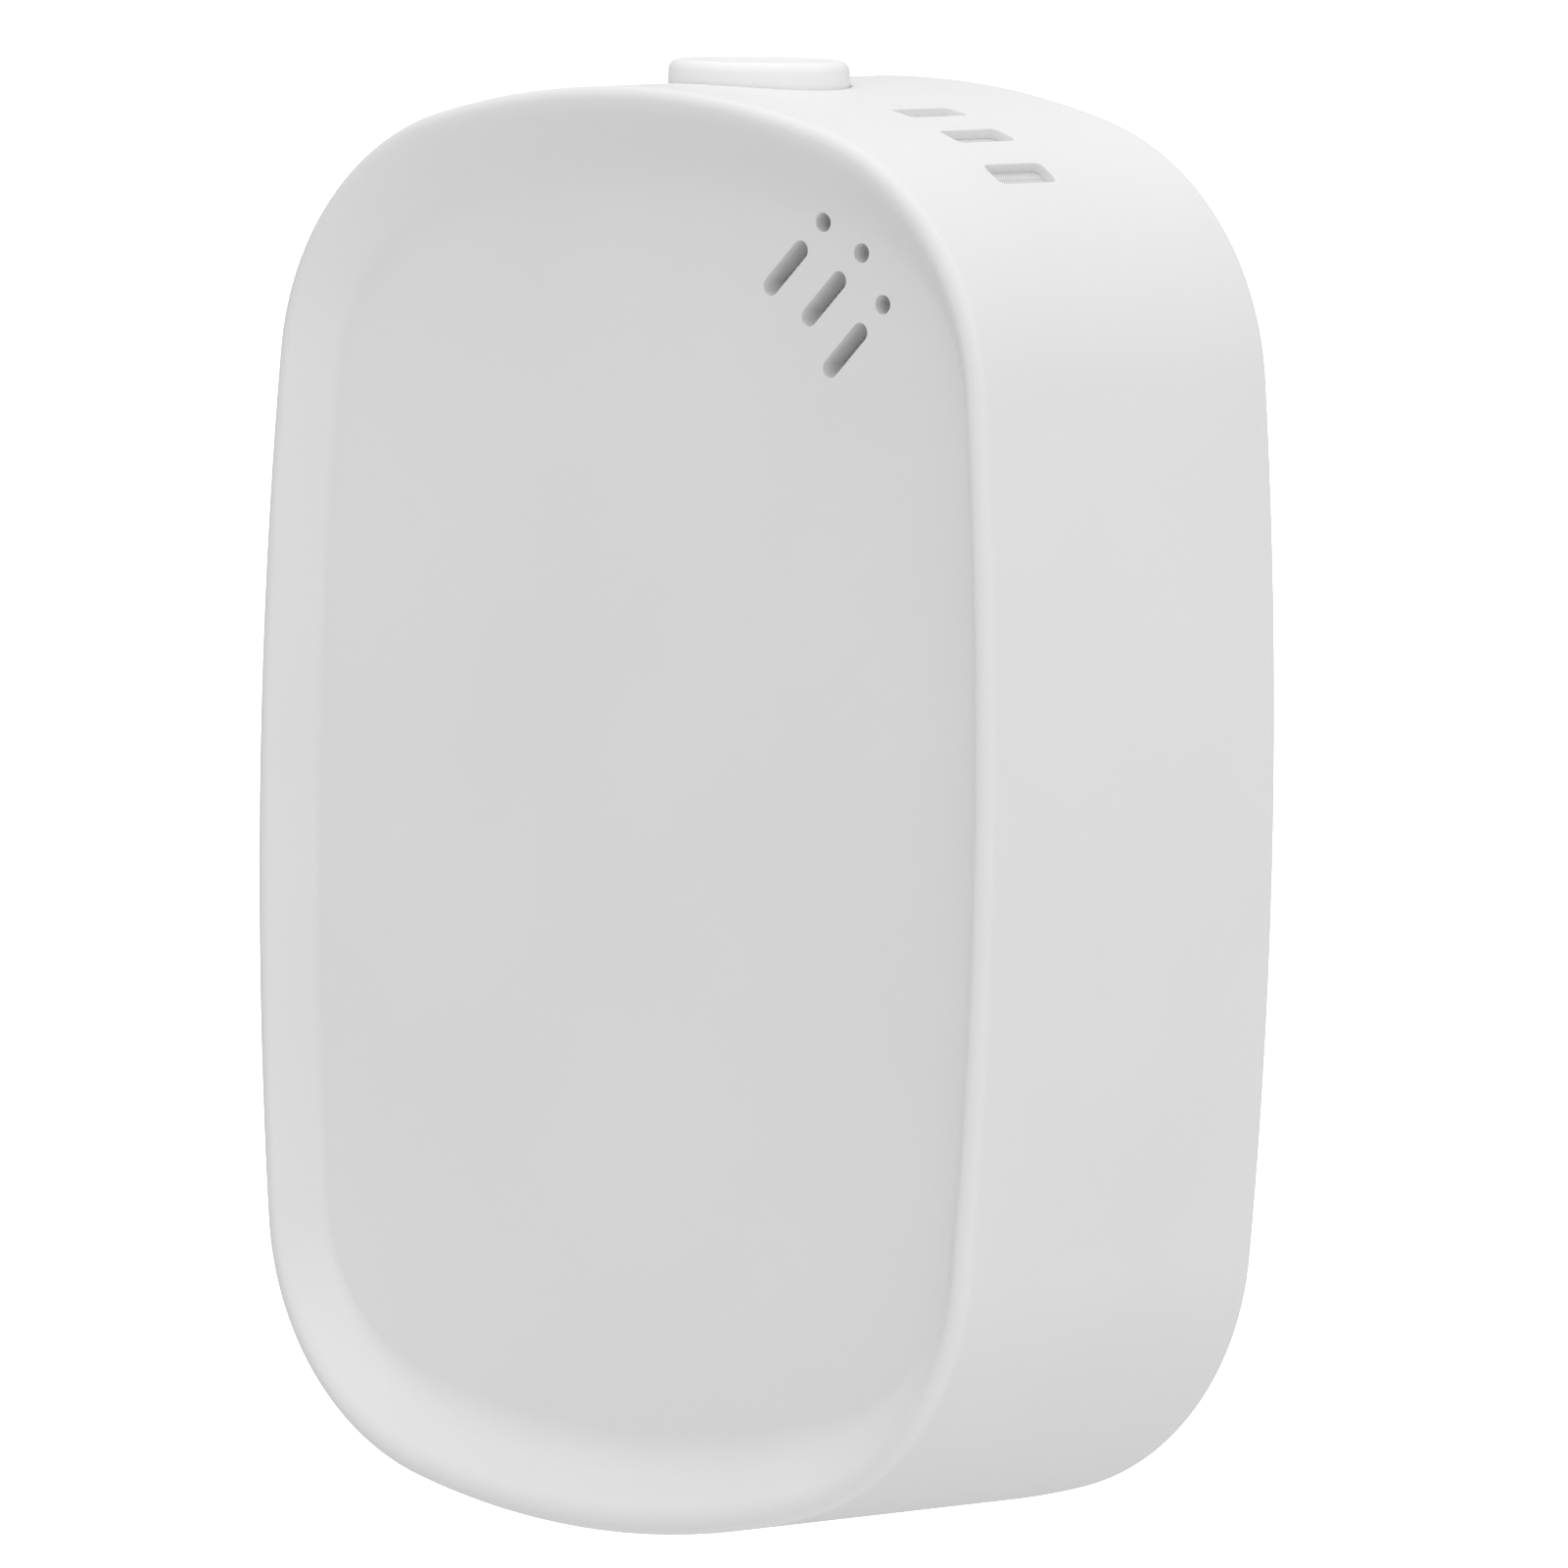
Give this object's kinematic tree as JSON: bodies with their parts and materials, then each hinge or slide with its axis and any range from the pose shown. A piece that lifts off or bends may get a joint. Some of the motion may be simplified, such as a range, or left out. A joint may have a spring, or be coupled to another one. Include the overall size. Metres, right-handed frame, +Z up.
{
  "type": "carbon monoxide detector",
  "caption": "Small wall-hung battery gas alarm: rounded white shell with a dished front, slot vents, a round button on top, a hinged battery door and a hook-on wall plate.",
  "frame": {"origin": "on the wall plane (back face of the wall plate), behind the middle of the body", "axes": "+X to the right seen from the front, +Y into the wall so that the front faces -Y, +Z up"},
  "size_m": [0.0602, 0.0288, 0.0919],
  "materials": {
    "housing_plastic": "moulded white plastic, satin, very fine texture",
    "cover_plastic": "moulded white plastic, fine spark texture",
    "bracket_plastic": "moulded white plastic, matt",
    "button_plastic": "moulded white plastic, satin",
    "grey_screen": "fine woven dust screen, grey",
    "pale_screen": "fine woven dust screen, pale",
    "label_film": "blank printed film, satin",
    "screw_steel": "zinc plated",
    "spring_steel": "nickel plated spring steel",
    "plated_steel": "nickel plated",
    "tinned_metal": "tinned",
    "shield_tin": "tin plated sheet",
    "gold_plate": "gold plated",
    "piezo_brass": "thin sheet",
    "circuit_board": "solder mask",
    "module_board": "solder mask",
    "black_plastic": "moulded",
    "chip_resin": "moulded resin",
    "ferrite": "sintered",
    "ceramic_parts": "ceramic",
    "capacitor_sleeve": "shrink sleeve",
    "orange_plastic": "moulded",
    "filter_fabric": "sintered membrane",
    "black_foam": "closed cell foam",
    "led_resin": "clear resin with a pale body",
    "clear_plastic": "moulded clear plastic",
    "cell_wrap": "plain shrink wrap"
  },
  "bodies": {
    "wall_bracket": {"wall_bracket": "bracket_plastic"},
    "housing": {"front_housing": "housing_plastic", "back_cover": "cover_plastic", "housing_screws": "screw_steel", "front_dust_screen": "grey_screen", "top_dust_screen": "pale_screen", "switch_case": "black_plastic", "switch_dome": "spring_steel", "switch_terminals": "tinned_metal", "main_circuit_board": "circuit_board", "board_screws": "screw_steel", "co_sensor_can": "plated_steel", "co_sensor_cap": "orange_plastic", "co_sensor_filter": "filter_fabric", "co_sensor_pins": "gold_plate", "sensor_washer": "black_foam", "buzzer_case": "black_plastic", "buzzer_piezo_disc": "piezo_brass", "buzzer_pins": "tinned_metal", "status_led": "led_resin", "light_pipe": "clear_plastic", "microcontroller": "chip_resin", "radio_board": "module_board", "radio_shield": "shield_tin", "sensor_amplifier": "chip_resin", "quartz_crystal": "shield_tin", "power_inductor": "ferrite", "reservoir_capacitor": "capacitor_sleeve", "surface_mount_parts": "ceramic_parts", "battery_cell": "cell_wrap", "battery_positive_cap": "plated_steel", "positive_contact": "spring_steel", "negative_contact": "spring_steel", "negative_spring": "spring_steel"},
    "test_button": {"test_button": "button_plastic"},
    "switch_plunger": {"switch_plunger": "black_plastic"},
    "battery_door": {"battery_door": "cover_plastic", "door_foam_pad": "black_foam", "rating_label": "label_film"}
  },
  "joints": [
    {"name": "housing_lift", "type": "slide", "parent": "wall_bracket", "child": "housing", "axis": [0, 0, 1], "range_m": [0, 0.005]},
    {"name": "test_button_press", "type": "slide", "parent": "housing", "child": "test_button", "axis": [0, 0, -1], "range_m": [0, 0.0008], "stiffness_N_per_m": 700, "springref_m": -0.002},
    {"name": "switch_plunger_press", "type": "slide", "parent": "housing", "child": "switch_plunger", "axis": [0, 0, -1], "range_m": [0, 0.0008], "deforming": ["switch_dome"]},
    {"name": "battery_door_swing", "type": "hinge", "parent": "housing", "child": "battery_door", "pos_m": [0, -0.0018, -0.0347], "axis": [-1, 0, 0], "range_deg": [0, 90]}
  ],
  "couplings": [
    {"joint": "switch_plunger_press", "follows": "test_button_press", "ratio": 1}
  ]
}
